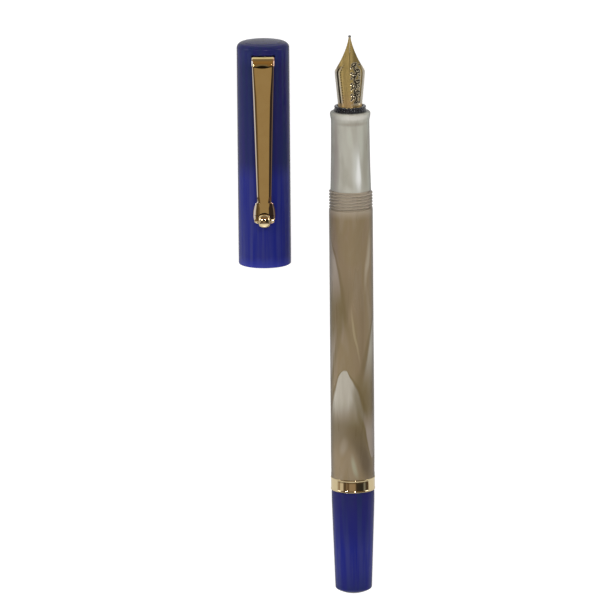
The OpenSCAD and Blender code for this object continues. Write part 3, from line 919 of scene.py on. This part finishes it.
def clip_stations():
    """(distance, height, direction of the outer face, thickness) along the clip."""
    stations = [(CLIP_TAB, z, 0.0, CLIP_THICK + 0.1) for z in (CLIP_ROOT_Z, 5.9, 6.3)]
    for t in np.linspace(0, math.pi / 2, 41):
        c = CLIP_TAB - BEND_LENGTH * (1 - math.cos(t))
        z = CLIP_TOP - BEND_HEIGHT * (1 - math.sin(t))
        face = math.degrees(math.atan2(BEND_LENGTH * math.sin(t), BEND_HEIGHT * math.cos(t)))
        stations.append((c, z, face, CLIP_THICK + 0.1 * math.cos(math.radians(face))))
    flat_start = CLIP_TAB - BEND_LENGTH
    stations += [(c, CLIP_TOP, 90, CLIP_THICK) for c in between(flat_start - 0.1, 18, 1.2)]
    for c in between(17.7, AXLE_C, 0.12) + between(AXLE_C - 0.06, AXLE_C - CHEEK_REACH + 0.012, 0.06):
        back = min(c - AXLE_C, 0) / CHEEK_REACH
        roundness = max(1 - back ** 4, 0.0) ** 0.25
        rise = CHEEK_TOP * smoothstep(17.0, 13.0, c)
        top = CLIP_TOP + rise if c > AXLE_C else AXLE_Z + (CLIP_TOP + CHEEK_TOP - AXLE_Z) * roundness
        share = smoothstep(17.9, AXLE_C + 0.4, c)
        low = (1 - share) * (CLIP_TOP - CLIP_THICK) + share * (AXLE_Z - CHEEK_R * roundness)
        stations.append((c, top, 90, top - low))
    return stations


def bevel(width, first, last, power):
    """(across, drop) along a bevel whose slope grows from first to last, in degrees."""
    steps = 12
    points = [(0.0, 0.0)]
    for k in range(steps):
        slope = math.radians(first + (last - first) * ((k + 0.5) / steps) ** power)
        x, drop = points[-1]
        points.append((x + width / steps, drop + width / steps * math.tan(slope)))
    return points


def clip_ring(c, z, face, thickness):
    """The clip's outline at a station: a flat, hollow-ground bevels, straight sides and a back."""
    half = clip_half(c)
    margin = np.interp(c, (11.2, 12.4, 13.6, 15.2, 16.3, 18, 34, 42, 49.5, 51.7),
                       (0.5, 1.25, 1.6, 1.42, 0.85, 0.62, 0.80, 0.80, 0.46, 0.36))
    flat = half - margin
    slope = bevel(margin, 19, 41, 2.5)
    squash = min(1.0, 0.6 * thickness / slope[-1][1])
    shoulder = [(flat + x, -drop * squash) for x, drop in slope]
    edge_drop = -shoulder[-1][1]
    low = thickness - min(0.08, 0.15 * thickness)
    side = [(half, -max(low, edge_drop + 0.02)), (half - 0.08, -thickness)]
    right = [(flat * k / 6, 0) for k in range(1, 6)] + [(flat - 0.03, 0)] + shoulder + side
    right.append((half * 0.5, -thickness))
    outline = right + [(0, -thickness)] + [(-x, d) for x, d in reversed(right)] + [(0, 0)]
    out_c, out_z = math.cos(math.radians(face)), math.sin(math.radians(face))
    # Across the clip, the flat ends in a bow where the bend begins.
    bow = smoothstep(72, 82, face) if c > CLIP_TAB - BEND_LENGTH - 0.05 else 0.0
    ring = []
    for x, depth in outline:
        near_middle = min(max(x, -1.8), 1.8)
        curve = 0.085 * near_middle ** 2 + 0.03 * near_middle
        shift = bow * curve if depth > -0.3 else 0.0
        ring.append((x, c + shift + out_c * depth, z + out_z * depth))
    return ring


def turned_across(profile, around):
    """Turns a profile about the roller's axle, which runs along X."""
    points, faces = turned(profile, around=around)
    return [(y, AXLE_C + x, AXLE_Z + z) for x, y, z in points], faces


def build_clip():
    rings = [clip_ring(*station) for station in clip_stations()]
    middles = [tuple(np.mean(ring, axis=0)) for ring in (rings[0], rings[-1])]
    skin = loft([[middles[0]]] + rings + [[middles[1]]], loop=False)
    clip = add_piece("clip_gold", *skin, CAP, "clip_arm", clip_mat, "gold_trim", ["clip"])
    right = [(1.47, 10.4), (1.47, AXLE_C + 1.2)]
    right += [(x, AXLE_C + roller_radius(x) + 0.13) for x in (1.36, 1.25, 1.1, 0.9, 0.6, 0.3)]
    outline = right + [(0, AXLE_C + ROLLER_R + 0.16)] + [(-x, c) for x, c in reversed(right)]
    cut_out(clip, *prism(outline, 6, 11), CAP)
    hole_r = AXLE_R + 0.02
    cut_out(clip, *turned_across([(0, -4), (hole_r, -4), (hole_r, 4), (0, 4)], 32), CAP)


def build_roller():
    half = ROLLER_HALF
    tread = [(roller_radius(half * t), half * t) for t in np.linspace(-1, 1, 25)]
    hub = [(0.88, half), (0.82, half - 0.1), (0.66, half - 0.1), (0.56, half)]
    profile = tread + hub + [(x, -y) for x, y in reversed(hub)]
    add_piece("clip_roller_crowned", *turned_across(profile, 96), CAP, "roller", gold_mat,
              "gold_trim", ["clip_roller"])


def build_axle():
    half = 2.4
    end = [(0, half), (0.22, half - 0.01), (0.38, half - 0.05), (0.47, half - 0.13),
           (AXLE_R, half - 0.3)]
    profile = [(x, -y) for x, y in end] + end[::-1]
    add_piece("roller_pin", *turned_across(profile, 48), CAP, "clip_arm", gold_mat, "gold_trim",
              ["roller_axle"])


build_barrel()
build_section()
build_collar()
build_ring()
build_knob()
build_nib()
build_tipping()
build_cap()
build_clip()
build_roller()
build_axle()


# ---------------- stage, light and camera

def hide_from(thing, *rays):
    for ray in rays:
        setattr(thing, f"visible_{ray}", False)


def add_disc(name, radius, height, material):
    count = 64
    turns = np.linspace(0, math.tau, count, endpoint=False)
    mesh = bpy.data.meshes.new(name)
    mesh.from_pydata([(radius * math.cos(t), radius * math.sin(t), height) for t in turns], [],
                     [tuple(range(count))])
    mesh.materials.append(material)
    disc = link(name, mesh)
    return disc


def paper_material(name, glow, paleness):
    """A pale table that glows a little, so that it stays pale under the pen."""
    material, graph, place = new_material(name)
    fibres = graph.noise(place, 0.4, 3)
    tone = graph.mix(fibres, (0.97, 0.97, 0.97), (1.0, 1.0, 0.995))
    return finish_material(material, graph, {
        "Base Color": graph.mix(paleness, grey(0.0), tone), "Roughness": 0.9,
        "Specular IOR Level": 0.0, "Emission Color": tone, "Emission Strength": glow})


def build_table():
    """The table, and a greyer one just under it that only reflections show."""
    table = add_disc("table", 2.5, 0.0, paper_material("pale_table", 0.86, 0.40))
    hide_from(table, "glossy", "shadow")
    reflected = add_disc("table_reflected", 2.5, -0.00005, paper_material("grey_table", 0.30, 0.25))
    hide_from(reflected, "camera", "diffuse", "transmission", "shadow")


def backdrop_material():
    material, graph, _ = new_material("backdrop")
    glow = graph.add("Emission", {"Color": grey(0.97), "Strength": 1.0})
    graph.add("OutputMaterial", {"Surface": glow.outputs[0]})
    return material


BACKDROP_RADIUS = 4.3    # metres: outside the camera of every view, and nearer than its clip_end


def build_backdrop():
    """A pale dome that only the camera sees, behind the object in views from the side."""
    mesh = bpy.data.meshes.new("backdrop")
    work = bmesh.new()
    bmesh.ops.create_icosphere(work, subdivisions=4, radius=BACKDROP_RADIUS)
    work.to_mesh(mesh)
    work.free()
    mesh.materials.append(backdrop_material())
    dome = link("backdrop", mesh)
    hide_from(dome, "diffuse", "glossy", "transmission", "shadow", "volume_scatter")


# How bright the room is, and how warm, by the angle about the Y axis: 0 is overhead and positive
# towards +X.
ROOM = [(-180, .52, 0), (-104, .52, 0), (-98, .58, 0), (-89, .50, .3), (-84, .44, .4), (-79, .28, .8),
        (-75, .32, .8), (-71, .60, .2), (-56, .62, .2), (-51, .22, .8), (-46, .08, 1),
        (-41, .08, 1.2), (-36, .20, 1), (-31, .19, 1), (-26, .14, 1.2), (-22, .15, 1.1),
        (-17, .31, .8), (10, .30, .9), (14, .19, .9), (18, .05, 1), (24, .040, .6), (45, .028, .2),
        (56, .035, .2), (60, .22, -.2), (67, .20, -.2), (72, .06, .6), (86, .075, 1),
        (92, .22, .5), (96, .44, .3), (101, .60, 0), (108, .52, 0), (180, .52, 0)]
# How bright and warm the room is towards its two ends, by the Y part of a direction, and how far
# that hides the bands above.
ENDS = [(-1.0, 1.6, 0, 1), (-0.90, .90, 0, 1), (-0.60, .80, 0, 1), (-0.54, .09, 1, 1),
        (-0.30, .09, 1, 1), (-0.26, .09, 1, 0), (0.03, .010, 1, 0), (0.06, .010, 1, 1),
        (0.32, .010, 1, 1), (0.365, .18, .4, 1), (0.43, .17, .6, 1), (0.48, .20, 1.6, 1),
        (0.76, .25, 1.5, 1), (0.84, .17, 1.0, 1), (0.985, .20, .8, 1), (1.0, .5, 0, 1)]
# Lamps: direction, the cosines between which each fades in, and brightness.
LAMPS = [((-.523, .436, .734), .9975, .9992, 60), ((.193, .460, .867), .9975, .9992, 60),
         ((-.93, .33, .14), .965, .985, 2.6), ((.93, .33, .14), .965, .985, 2.6)]
BRIGHTEST = 2.0


def warm(value, warmth):
    return tuple(value / BRIGHTEST * t for t in (1.0, 1.0 - 0.25 * warmth, 1.0 - 0.45 * warmth))


def build_room():
    world = bpy.data.worlds.new("studio")
    bpy.context.scene.world = world
    world.use_nodes = True
    graph = Graph(world.node_tree)
    direction = graph.add("TexCoord").outputs["Generated"]
    x, y, z = graph.split(direction)
    turn = graph.math("ARCTAN2", x, z)
    share = graph.math("ADD", graph.times(turn, 1 / math.tau), 0.5)
    bands = graph.ramp(share, [(a / 360 + 0.5, warm(v, w)) for a, v, w in ROOM])[0]
    ends = graph.ramp(graph.math("ADD", graph.times(y, 0.5), 0.5),
                      [(p / 2 + 0.5, warm(v, w), hidden) for p, v, w, hidden in ENDS])
    light = graph.mix(ends[1], bands, ends[0])
    for towards, low, high, brightness in LAMPS:
        towards = tuple(Vector(towards).normalized())
        shown = graph.scale(graph.vector("DOT_PRODUCT", direction, towards), low, high)
        light = graph.mix(shown, light, (brightness / BRIGHTEST,) * 3)
    background = graph.add("Background", {"Color": light, "Strength": BRIGHTEST})
    graph.add("OutputWorld", {"Surface": background.outputs[0]})


def build_softbox():
    """A wide, soft light overhead that lights the resins and doesn't show in the polished gold."""
    light = bpy.data.lights.new("softbox", "AREA")
    light.shape, light.size, light.energy = "DISK", 1.4, 9
    softbox = link("softbox", light)
    softbox.location = (-0.12, 0.1, 1.5)
    softbox.rotation_euler = Vector((0, 0, 1)).rotation_difference(softbox.location).to_euler()
    hide_from(softbox, "glossy", "camera")


CAMERA_TILT = math.radians(12.4)
CAMERA_ROLL = math.radians(-0.5)
CAMERA_DISTANCE = 2500
CAMERA_TARGET = Vector((-1.56, 3.705, 5.0))


def build_camera():
    """Looks almost straight down, from a little towards the nib's end."""
    back = Vector((0, math.sin(CAMERA_TILT), math.cos(CAMERA_TILT)))
    right, up = Vector((1, 0, 0)), back.cross(Vector((1, 0, 0)))
    turned_right = math.cos(CAMERA_ROLL) * right + math.sin(CAMERA_ROLL) * up
    turned_up = math.cos(CAMERA_ROLL) * up - math.sin(CAMERA_ROLL) * right
    camera = link("camera", bpy.data.cameras.new("camera"))
    camera.data.lens = 624.9
    camera.data.sensor_width = 36
    camera.data.clip_start, camera.data.clip_end = 0.1, 20
    axes = Matrix((turned_right, turned_up, back)).transposed().to_4x4()
    camera.matrix_world = Matrix.Translation((CAMERA_TARGET + back * CAMERA_DISTANCE) * MM) @ axes
    bpy.context.scene.camera = camera


build_table()
build_backdrop()
build_room()
build_softbox()
build_camera()
bpy.context.scene.view_settings.view_transform = "Standard"
